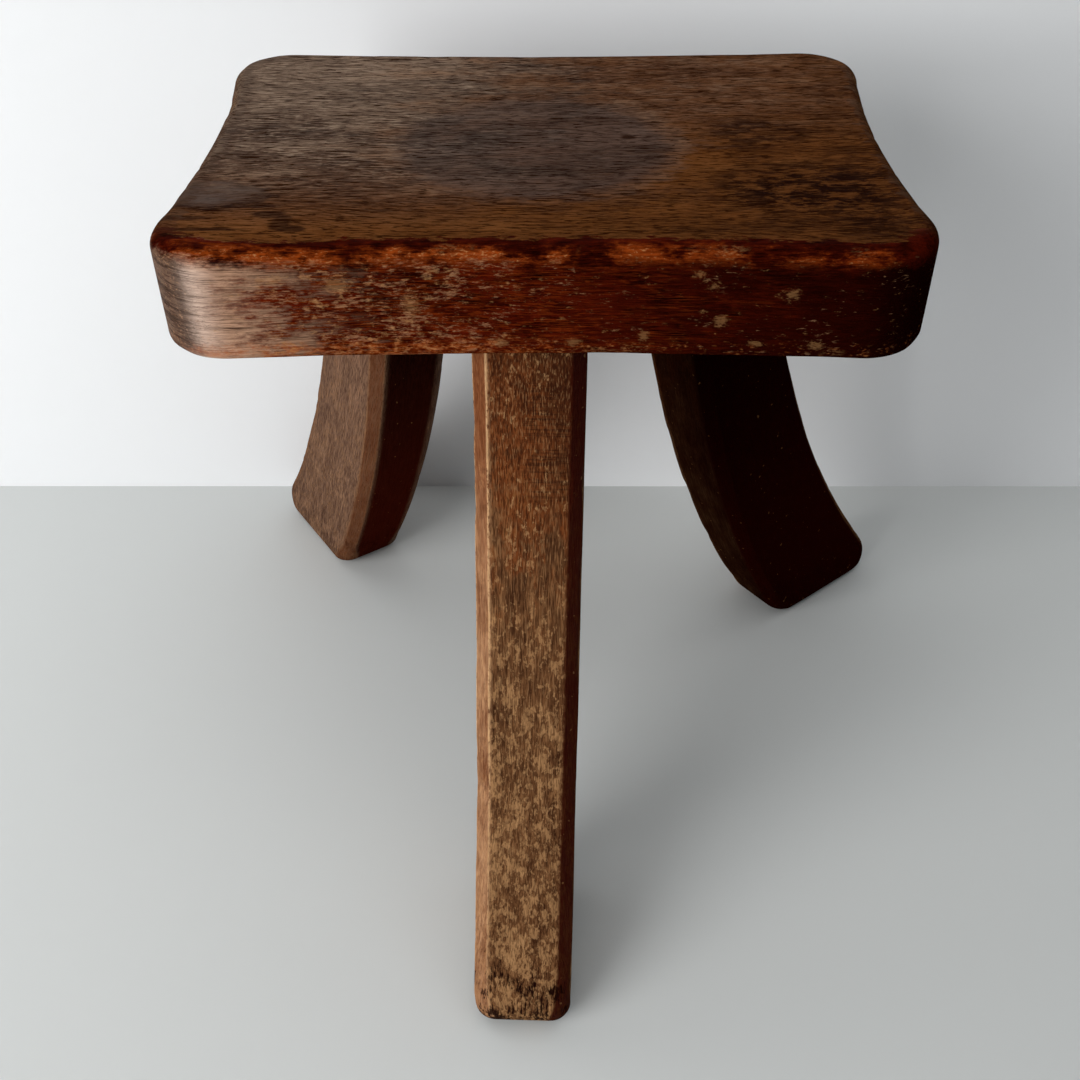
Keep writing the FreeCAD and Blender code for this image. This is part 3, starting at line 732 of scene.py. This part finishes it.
def build_seat(sizes):
    """The plank as one closed mesh that keeps its way down the edge and its wear."""
    low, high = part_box("seat")
    centre = seat_middle()
    thickness = high.z - low.z
    mesh = bpy.data.meshes.new("seat_oak")
    bm = bmesh.new()
    down_layer = bm.verts.layers.float.new("down")
    wear_layer = bm.verts.layers.float.new("wear")

    def add_point(x, y, z, inward, down):
        place, worn = wear_seat(sizes, Vector((x, y, z)), inward, down)
        inside = max(0.0, 1 - (x / DISH_REACH_X) ** 2 - (y / DISH_REACH_Y) ** 2)
        lower = inside * sizes.dish if down < 0 else 0
        vert = bm.verts.new(centre + place - Vector((0, 0, lower)))
        vert[down_layer] = down
        vert[wear_layer] = worn
        return vert

    rows = []
    rings = {}
    for share, inset, z, down in seat_profile(sizes, thickness):
        if inset not in rings:
            rings[inset] = seat_ring(sizes, inset)
        level = z in (0, -thickness)
        row = []
        for x, y in rings[inset]:
            inward = Vector() if level else Vector((-x, -y, 0)).normalized()
            row.append(add_point(share * x, share * y, z, inward, down))
        rows.append(row)
    for above, below in zip(rows, rows[1:]):
        for turn in range(len(above)):
            bm.faces.new((above[turn - 1], below[turn - 1], below[turn], above[turn]))
    for row, z, down in ((rows[0], 0, -FLAT_WAY), (rows[-1], -thickness, LAST_WAY)):
        pole = add_point(0, 0, z, Vector(), down)
        for turn in range(len(row)):
            bm.faces.new((row[turn - 1], row[turn], pole))
    bmesh.ops.recalc_face_normals(bm, faces=bm.faces)
    for face in bm.faces:
        face.smooth = True
    bm.to_mesh(mesh)
    bm.free()
    return mesh, centre


LEG_LENGTHS = ("Top Width", "Top Thickness", "Foot Thickness", "Heel Reach", "Toe Reach", "Inner Bow",
               "Outer Bow", "Heel Radius", "Toe Radius", "Bevel", "Wear")
LEG_INPUTS = (
    ("Drop", "NodeSocketFloat"), *((label, "NodeSocketFloat") for label in LEG_LENGTHS),
    ("Seed", "NodeSocketFloat"), ("Place", "NodeSocketVector"), ("Heading", "NodeSocketVector"),
    ("Finish", "NodeSocketMaterial"),
)
STEPS_ALONG = 241
STEPS_AROUND = 201
FOOT_ZONE = 0.040
SOLE_ROUND = 0.008
SOLE_EASE = 0.004
SOLE_SOFT = (30 * MM, 6 * MM)
LEG_WAVE = 0.9 * MM
CALM_FOOT = 10 * MM
CALM_TOP = 6 * MM
WELD = 0.005 * MM
SEED_STEP = 0.53

# Shares of the way along a leg where its top cap, its body and its foot end.
CAP_END = 0.03
BODY_END = 0.80
FOOT_END = 0.95

# Places around a slice of a leg, from 0 in the middle of the outer face to 0.5 in that of the inner face.
FLANK_MIDDLE = 0.25
FLANK_HALF = 0.085
OUTER_BEVEL_END = 0.165
INNER_BEVEL_START = 0.335
BEVEL_RUN = 0.08
BEVEL_MIDDLE = 0.125


def long_edge(height, top, foot, drop, bow, rounding, outer):
    """How far out a long edge stands at a height: a bowed arc, rounded into the sole."""
    run = foot - top
    chord = (run * run + drop * drop).root()
    radius = chord * chord / (8 * bow) + bow / 2
    reach = (radius - bow) / chord
    centre_x = (top + foot) / 2 + drop * reach
    centre_z = drop / 2 + run * reach
    rise = height - centre_z
    arc = centre_x - (radius * radius - rise * rise).root()
    clear = radius + rounding if outer else radius - rounding
    lower = centre_z - rounding
    turn_x = centre_x - (clear * clear - lower * lower).root()
    turn_height = centre_z - lower * radius / clear
    lift = height - rounding
    bulge = (rounding * rounding - lift * lift).most(0).root()
    rounded = turn_x + bulge if outer else turn_x - bulge
    share = height.below(turn_height)
    return arc + (rounded - arc) * share


def flat_share(around):
    """From 1 to -1 across a leg's section, flat along the two faces that look that way."""
    return ((FLANK_MIDDLE - around) / FLANK_HALF).most(-1).least(1)


def bevel_share(around, soft):
    """The rest of the way out, over the bevels: straight, or round where they are soft."""
    near = ((OUTER_BEVEL_END - around) / BEVEL_RUN).most(0).least(1)
    far = ((around - INNER_BEVEL_START) / BEVEL_RUN).most(0).least(1)
    flat = near - far
    return flat + ((flat * (math.pi / 2)).sine() - flat) * soft


def leg_tree():
    """A node tree that shapes one sabre leg, flaring along +X, and places it."""
    nodes = bpy.data.node_groups.new("sabre_leg", "GeometryNodeTree")
    for name, kind in LEG_INPUTS:
        nodes.interface.new_socket(name, in_out="INPUT", socket_type=kind)
    nodes.interface.new_socket("Geometry", in_out="OUTPUT", socket_type="NodeSocketGeometry")
    tree = Tree(nodes)
    size = tree.add("NodeGroupInput")
    sheet = tree.add("GeometryNodeMeshGrid",
                     {"Size X": 1.0, "Size Y": 1.0, "Vertices X": STEPS_ALONG, "Vertices Y": STEPS_AROUND})
    across, turn = tree.add("GeometryNodeInputPosition").axes()[:2]
    along = across + 0.5

    # Slices from the top cap down the body and the foot to the sole.
    drop = size["Drop"]
    body = along.ease(CAP_END, BODY_END, smooth=False)
    foot = along.ease(BODY_END, FOOT_END, smooth=False)
    height = drop - (drop - FOOT_ZONE) * body - FOOT_ZONE * (foot * (math.pi / 2)).sine()
    sole = along.ease(FOOT_END, 1.0, 1.0, 0.0, smooth=False)
    fill = along.ease(0.0, CAP_END, smooth=False).least(sole)

    half_top = size["Top Width"] / 2
    outer = long_edge(height, half_top, size["Toe Reach"], drop, size["Outer Bow"], size["Toe Radius"], True)
    inner = long_edge(height, 0 - half_top, size["Heel Reach"], drop, size["Inner Bow"], size["Heel Radius"],
                      False)
    bevel = size["Bevel"]
    thick = size["Foot Thickness"] + (size["Top Thickness"] - size["Foot Thickness"]) * height / drop
    lip = (SOLE_ROUND - height).most(0)
    half_thick = thick / 2 - SOLE_ROUND + (SOLE_ROUND * SOLE_ROUND - lip * lip).most(0).root()
    half_wide = (outer - inner) / 2

    # One slice: a rectangle with bevelled corners, which turn round close to the floor.
    round_out = abs(turn)
    back = abs(turn - FLANK_MIDDLE)
    round_side = back.least(1 - back)
    soft = height.ease(*SOLE_SOFT)
    cut = bevel + soft * SOLE_EASE
    out = (half_wide - cut) * flat_share(round_out) + cut * bevel_share(round_out, soft)
    x = (outer + inner) / 2 + fill * out
    y = fill * ((half_thick - cut) * flat_share(round_side) + cut * bevel_share(round_side, soft))

    # Coordinates along the sawn grain, and the ways from a bevel's middle and from an arris.
    reach = (size["Heel Reach"] + size["Toe Reach"]) / 2
    run = (reach * reach + drop * drop).root()
    lengthways = (x * reach + (drop - height) * drop) / run
    crossways = (x * drop - (drop - height) * reach) / run
    shift = size["Seed"] * SEED_STEP
    from_bevel = abs(abs(round_out - FLANK_MIDDLE) - BEVEL_MIDDLE)
    gap = abs(from_bevel - BEVEL_RUN / 2)
    arris = gap.ease(0.022, 0.0) * fill.ease(0.9, 1.0)

    # Uneven faces and knocked arrises, fading out at the seat and the floor. The finish reads what is kept.
    place = tree.join(x, y, height)
    seeded = tree.add("ShaderNodeVectorMath", {0: place, 1: tree.join(shift, shift * 2, shift)},
                      operation="ADD")
    uneven = (seeded.clouds((14, 14), (0, 0, 0), 2) - 0.5) * LEG_WAVE
    knocks = seeded.clouds((30, 30), (5, 2, 3), 3, 0.5).ease(0.45, 0.75)
    calm = (height / CALM_FOOT).least((drop - height) / CALM_TOP).least(1)
    kept = tree.keep(sheet, "grain", tree.join(lengthways + shift, y, crossways), "FLOAT_VECTOR")
    marks = {
        "inner": round_out.ease(0.408, 0.434),
        "bevel": from_bevel.ease(0.048, 0.038),
        "line": gap.ease(0.006, 0.0, smooth=False),
        "left": turn.ease(0.01, -0.01),
        # The flank that faces away from the lamp, which the finish darkens with painted shade on the darkest
        # leg.
        "flank": turn.ease(-0.09, -0.16),
        "wear": arris * (0.55 + knocks * 0.45),
        "push": (uneven - arris * knocks * size["Wear"]) * calm,
    }
    for name, value in marks.items():
        kept = tree.keep(kept, name, value)
    shaped = tree.add("GeometryNodeSetPosition", {"Geometry": kept, "Position": place})
    closed = tree.add("GeometryNodeMergeByDistance", {"Geometry": shaped, "Distance": WELD})
    amount = tree.add("GeometryNodeInputNamedAttribute", {"Name": "push"}, data_type="FLOAT")
    normal = tree.add("GeometryNodeInputNormal")
    push = tree.add("ShaderNodeVectorMath", {"Vector": normal, "Scale": amount["Attribute"]},
                    operation="SCALE")
    moved = tree.add("GeometryNodeSetPosition", {"Geometry": closed, "Offset": push})
    aged = tree.add("GeometryNodeRemoveAttribute", {"Geometry": moved, "Name": "push"})
    smooth = tree.add("GeometryNodeSetShadeSmooth", {"Geometry": aged})
    placed = tree.add("GeometryNodeTransform",
                      {"Geometry": smooth, "Translation": size["Place"], "Rotation": size["Heading"]})
    real = tree.add("GeometryNodeRealizeInstances", {"Geometry": placed})
    finished = tree.add("GeometryNodeSetMaterial", {"Geometry": real, "Material": size["Finish"]})
    tree.add("NodeGroupOutput", {"Geometry": finished})
    return nodes


def leg_place(name):
    """The middle of a leg's top and the way it flares, from where its two dowels stand."""
    inner, outer = (sum(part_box(name + dowel), Vector()) / 2 for dowel in ("_inner_dowel", "_outer_dowel"))
    middle = (inner + outer) / 2
    way = outer - inner
    return Vector((middle.x, middle.y, 0)), math.atan2(way.y, way.x)


def plain_mesh(piece):
    """Turns a piece's modifier into its own plain mesh."""
    bpy.context.view_layer.update()
    graph = bpy.context.evaluated_depsgraph_get()
    mesh = bpy.data.meshes.new_from_object(piece.evaluated_get(graph), preserve_all_data_layers=True,
                                           depsgraph=graph)
    piece.modifiers.clear()
    piece.data = mesh
    mesh.name = piece.name
    bm = bmesh.new()
    bm.from_mesh(mesh)
    bmesh.ops.recalc_face_normals(bm, faces=bm.faces)
    bm.to_mesh(mesh)
    bm.free()


def add_piece(name, mesh):
    piece = bpy.data.objects.new(name, mesh)
    bpy.context.scene.collection.objects.link(piece)
    return piece


def settle(piece, node):
    """Hands a finished piece to the frame."""
    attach(piece, BODY)
    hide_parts(node)


class StoolMakeSeat(bpy.types.Operator):
    """Shape the worn plank seat and give it its stained oak"""
    bl_idname = "stool.make_seat"
    bl_label = "Seat"

    def execute(self, context):
        mesh, centre = build_seat(context.scene.stool_seat)
        mesh.materials.append(seat_finish(context.scene.stool_finish, centre))
        settle(add_piece("seat_oak", mesh), "seat")
        return {"FINISHED"}


class StoolMakeLegs(bpy.types.Operator):
    """Shape the three sabre legs with one node tree and give each its stained oak"""
    bl_idname = "stool.make_legs"
    bl_label = "Legs"

    def execute(self, context):
        sizes = context.scene.stool_leg
        nodes = leg_tree()
        inputs = [item for item in nodes.interface.items_tree if item.in_out == "INPUT"]
        sockets = {item.name: item.identifier for item in inputs}
        for turn, (name, look) in enumerate(LEG_LOOKS.items()):
            place, heading = leg_place(name)
            finish = leg_finish(context.scene.stool_finish, name, look)
            values = {label: getattr(sizes, label.lower().replace(" ", "_")) for label in LEG_LENGTHS}
            values.update({"Drop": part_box("seat")[0].z, "Seed": 1.0 + turn, "Place": place,
                           "Heading": (0.0, 0.0, heading), "Finish": finish})
            piece = add_piece(name + "_oak", bpy.data.meshes.new(name + "_start"))
            shaping = piece.modifiers.new("sabre_leg", "NODES")
            shaping.node_group = nodes
            for label, value in values.items():
                shaping[sockets[label]] = value
            plain_mesh(piece)
            if len(piece.data.polygons) < STEPS_ALONG:
                raise RuntimeError(name + " has no shape")
            settle(piece, name)
        return {"FINISHED"}


class StoolFinishDowels(bpy.types.Operator):
    """Give the hidden dowels their beech"""
    bl_idname = "stool.finish_dowels"
    bl_label = "Dowels"

    def execute(self, context):
        beech = beech_finish(context.scene.stool_finish)
        for name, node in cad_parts.items():
            if name.endswith("_dowel"):
                node.data.materials.clear()
                node.data.materials.append(beech)
        return {"FINISHED"}


def pale_finish(name, tone):
    """A plain matt surface that is only there from its front."""
    material, tree = new_finish(name)
    matt = tree.add("ShaderNodeBsdfDiffuse", {"Color": tone})
    clear = tree.add("ShaderNodeBsdfTransparent")
    behind = tree.add("ShaderNodeNewGeometry")["Backfacing"]
    surface = tree.add("ShaderNodeMixShader", {0: behind, 1: matt, 2: clear})
    tree.add("ShaderNodeOutputMaterial", {"Surface": surface})
    return material


def add_sheet(name, corners, tone):
    """A flat stage piece from its four corners."""
    mesh = bpy.data.meshes.new(name)
    mesh.from_pydata(corners, [], [tuple(range(len(corners)))])
    mesh.materials.append(pale_finish(name, tone))
    sheet = add_piece(name, mesh)


def add_lamp(name, place, aim, size, strength, tone):
    """A large soft lamp that looks at a point."""
    data = bpy.data.lights.new(name, "AREA")
    data.shape = "RECTANGLE"
    data.size, data.size_y = size
    data.energy = strength
    data.color = tone
    lamp = bpy.data.objects.new(name, data)
    lamp.location = place
    lamp.rotation_euler = (Vector(aim) - Vector(place)).to_track_quat("-Z", "Y").to_euler()
    bpy.context.scene.collection.objects.link(lamp)


SENSOR_WIDTH = 36
WALL_GAP = 0.003
STAGE_WIDE = 3.0
STAGE_NEAR = -4.0
WALL_TALL = 2.6
ROOM_TONE = (0.97, 0.98, 1.0)
LAMP_AIM = (0, 0, 0.2)
LAMPS = (
    ("window", (-1.4, -1.27, 0.78), (1.3, 1.4), (1.0, 0.99, 0.98)),
    ("ceiling", (0.2, -0.5, 2.1), (2.4, 2.0), (1.0, 1.0, 1.0)),
    ("behind", (0.4, 1.6, 1.3), (2.2, 1.6), (1.0, 1.0, 1.0)),
)


class StoolMakeStage(bpy.types.Operator):
    """Set the camera, the pale floor and wall, and the soft light from the left"""
    bl_idname = "stool.make_stage"
    bl_label = "Stage"

    def execute(self, context):
        scene = context.scene
        stage = scene.stool_stage

        data = bpy.data.cameras.new("camera")
        data.lens = stage.lens
        data.sensor_width = SENSOR_WIDTH
        camera = bpy.data.objects.new("camera", data)
        turn = (Matrix.Rotation(stage.heading, 4, "Z") @ Matrix.Rotation(math.pi / 2 - stage.tilt, 4, "X")
                @ Matrix.Rotation(stage.roll, 4, "Z"))
        camera.matrix_world = Matrix.Translation(seat_middle() + Vector(stage.eye)) @ turn
        scene.collection.objects.link(camera)
        scene.camera = camera

        wide, near, back = STAGE_WIDE, STAGE_NEAR, CAD_BOX[1].y + WALL_GAP
        corners = ((-wide, near, 0), (wide, near, 0), (wide, back, 0), (-wide, back, 0))
        add_sheet("floor", corners, stage.floor)
        corners = ((-wide, back, 0), (wide, back, 0), (wide, back, WALL_TALL), (-wide, back, WALL_TALL))
        add_sheet("wall", corners, stage.wall)
        for name, place, size, tone in LAMPS:
            add_lamp(name, place, LAMP_AIM, size, getattr(stage, name), tone)

        world = bpy.data.worlds.new("room")
        world.use_nodes = True
        world.node_tree.nodes.clear()
        tree = Tree(world.node_tree)
        light = tree.add("ShaderNodeBackground", {"Color": ROOM_TONE, "Strength": stage.room})
        tree.add("ShaderNodeOutputWorld", {"Surface": light})
        scene.world = world
        scene.view_settings.view_transform = "Standard"
        return {"FINISHED"}


OPERATORS = (StoolMakeSeat, StoolMakeLegs, StoolFinishDowels, StoolMakeStage)
GROUPS = {"stool_seat": StoolSeatSizes, "stool_leg": StoolLegSizes, "stool_finish": StoolFinish,
          "stool_stage": StoolStage}


class StoolPanel(bpy.types.Panel):
    """The stool's pieces and their sizes"""
    bl_idname = "STOOL_PT_panel"
    bl_label = "Stool"
    bl_space_type = "VIEW_3D"
    bl_region_type = "UI"
    bl_category = "Stool"

    def draw(self, context):
        for operator in OPERATORS:
            self.layout.operator(operator.bl_idname)
        for name, group in GROUPS.items():
            box = self.layout.box()
            for field in group.__annotations__:
                box.prop(getattr(context.scene, name), field)


def register():
    for group in GROUPS.values():
        bpy.utils.register_class(group)
    for name, group in GROUPS.items():
        setattr(bpy.types.Scene, name, PointerProperty(type=group))
    for operator in OPERATORS:
        bpy.utils.register_class(operator)
    bpy.utils.register_class(StoolPanel)


def unregister():
    bpy.utils.unregister_class(StoolPanel)
    for operator in reversed(OPERATORS):
        bpy.utils.unregister_class(operator)
    for name in GROUPS:
        delattr(bpy.types.Scene, name)
    for group in reversed(GROUPS.values()):
        bpy.utils.unregister_class(group)


def main():
    register()
    bpy.ops.stool.make_seat()
    bpy.ops.stool.make_legs()
    bpy.ops.stool.finish_dowels()
    bpy.ops.stool.make_stage()


if __name__ == "__main__":
    main()
